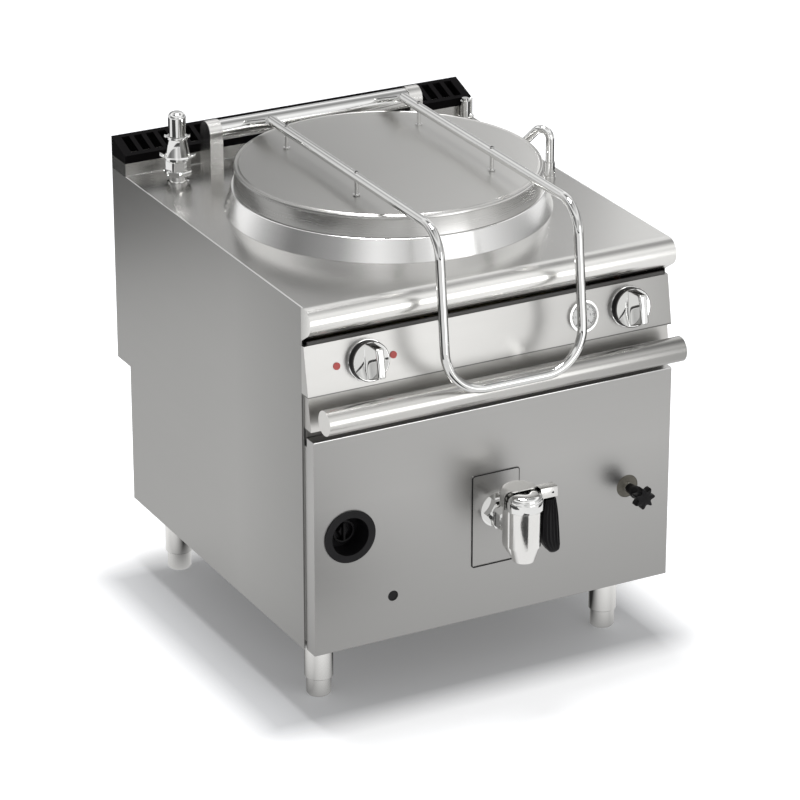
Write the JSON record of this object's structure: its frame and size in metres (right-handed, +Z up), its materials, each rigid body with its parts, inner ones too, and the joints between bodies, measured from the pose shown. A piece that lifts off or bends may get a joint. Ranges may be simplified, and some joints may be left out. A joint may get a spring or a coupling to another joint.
{
  "type": "gas boiling pan",
  "caption": "Free-standing stainless gas boiling pan with a deep round pan, hinged lid with a tube handle, front drain tap, guard rail, control knobs and adjustable feet.",
  "frame": {"origin": "centre of the overall box seen from above, at the feet's underside on the floor", "axes": "+Z up, +X to the right seen from the front, -Y towards the person who uses it"},
  "size_m": [0.8, 1.0494, 1.0186],
  "materials": {
    "satin_steel": "satin",
    "chrome": "polished",
    "black_enamel": "satin",
    "black_plastic": "matte",
    "brass": "satin",
    "copper_pipe": "satin",
    "burner_iron": "matte",
    "mineral_wool": "matte",
    "white_dial": "matte",
    "clear_glass": "gloss",
    "red_lens": "gloss"
  },
  "bodies": {
    "root": {"base_frame": "satin_steel", "side_panel_left": "satin_steel", "side_panel_right": "satin_steel", "rear_panel_upper": "satin_steel", "rear_panel_lower": "satin_steel", "worktop": "satin_steel", "pan_collar": "satin_steel", "inner_vessel": "satin_steel", "jacket_shell": "satin_steel", "insulation": "mineral_wool", "combustion_chamber": "burner_iron", "burner_tubes": "burner_iron", "gas_pipes": "brass", "gas_valve_body": "brass", "water_pipes": "copper_pipe", "water_valve_body": "brass", "flue_duct": "satin_steel", "flue_grille_left": "black_enamel", "flue_grille_right": "black_enamel", "control_panel": "satin_steel", "recess_panel": "satin_steel", "front_panel": "satin_steel", "guard_rail": "satin_steel", "gas_bezel": "black_plastic", "sight_tube": "black_plastic", "pan_strainer": "satin_steel", "drain_cover_plate": "satin_steel", "drain_union": "chrome", "drain_tap_body": "chrome", "drain_dome_cap": "chrome", "level_tap_body": "chrome", "safety_vent_pipe": "copper_pipe", "safety_valve_body": "chrome", "gauge_case": "chrome", "gauge_dial": "white_dial", "gauge_glass": "clear_glass", "lamp_lenses": "red_lens", "hinge_brackets": "chrome", "hinge_shaft": "satin_steel", "spout_base": "chrome", "filler_cock": "chrome", "leg_tubes": "satin_steel"},
    "lid": {"lid_shell": "satin_steel", "lid_liner": "satin_steel", "lid_handle": "chrome", "lid_fasteners": "chrome", "hinge_roller": "chrome"},
    "heat_knob_body": {"heat_knob": "chrome"},
    "water_knob_body": {"water_knob": "chrome"},
    "gas_knob_body": {"gas_knob": "black_plastic"},
    "needle_body": {"gauge_needle": "black_plastic"},
    "drain_lever_body": {"drain_lever": "chrome"},
    "drain_grip_body": {"drain_grip": "black_plastic"},
    "level_knob_body": {"level_knob": "black_plastic"},
    "spout_body": {"water_spout": "chrome"},
    "safety_cap_body": {"safety_cap": "chrome"},
    "foot_fl": {"foot_front_left": "satin_steel"},
    "foot_fr": {"foot_front_right": "satin_steel"},
    "foot_rl": {"foot_rear_left": "satin_steel"},
    "foot_rr": {"foot_rear_right": "satin_steel"}
  },
  "joints": [
    {"name": "lid_hinge", "type": "hinge", "parent": "root", "child": "lid", "pos_m": [0, 0.40675, 0.955], "axis": [-1, 0, 0], "range_deg": [0, 80]},
    {"name": "heat_turn", "type": "hinge", "parent": "root", "child": "heat_knob_body", "pos_m": [-0.2703, -0.35395, 0.7428], "axis": [0, 0.984, -0.1779], "range_deg": [0, 270]},
    {"name": "water_turn", "type": "hinge", "parent": "root", "child": "water_knob_body", "pos_m": [0.3061, -0.35395, 0.7428], "axis": [0, 0.984, -0.1779], "range_deg": [-90, 90]},
    {"name": "gas_turn", "type": "hinge", "parent": "root", "child": "gas_knob_body", "pos_m": [-0.3195, -0.34955, 0.393], "axis": [0, 1, 0], "range_deg": [0, 180]},
    {"name": "needle_turn", "type": "hinge", "parent": "root", "child": "needle_body", "pos_m": [0.2024, -0.35395, 0.7428], "axis": [0, 0.984, -0.1779], "range_deg": [0, 270]},
    {"name": "lever_turn", "type": "hinge", "parent": "root", "child": "drain_lever_body", "pos_m": [0, -0.48875, 0.43], "axis": [0, 0, -1], "range_deg": [0, 90]},
    {"name": "grip_fold", "type": "hinge", "parent": "drain_lever_body", "child": "drain_grip_body", "pos_m": [0.056, -0.48875, 0.457], "axis": [0, -1, 0], "range_deg": [0, 90]},
    {"name": "level_turn", "type": "hinge", "parent": "root", "child": "level_knob_body", "pos_m": [0.3, -0.43425, 0.3666], "axis": [0, 1, 0], "range_deg": [0, 360]},
    {"name": "spout_swing", "type": "hinge", "parent": "root", "child": "spout_body", "pos_m": [0.3577, 0.04975, 0.905], "axis": [0, 0, -1], "range_deg": [0, 100]},
    {"name": "safety_lift", "type": "slide", "parent": "root", "child": "safety_cap_body", "axis": [0, 0, 1], "range_m": [0, 0.006], "stiffness_N_per_m": 1500, "springref_m": -0.004},
    {"name": "foot_screw_fl", "type": "slide", "parent": "root", "child": "foot_fl", "axis": [0, 0, -1], "range_m": [0, 0.025]},
    {"name": "foot_screw_fr", "type": "slide", "parent": "root", "child": "foot_fr", "axis": [0, 0, -1], "range_m": [0, 0.025]},
    {"name": "foot_screw_rl", "type": "slide", "parent": "root", "child": "foot_rl", "axis": [0, 0, -1], "range_m": [0, 0.025]},
    {"name": "foot_screw_rr", "type": "slide", "parent": "root", "child": "foot_rr", "axis": [0, 0, -1], "range_m": [0, 0.025]}
  ]
}
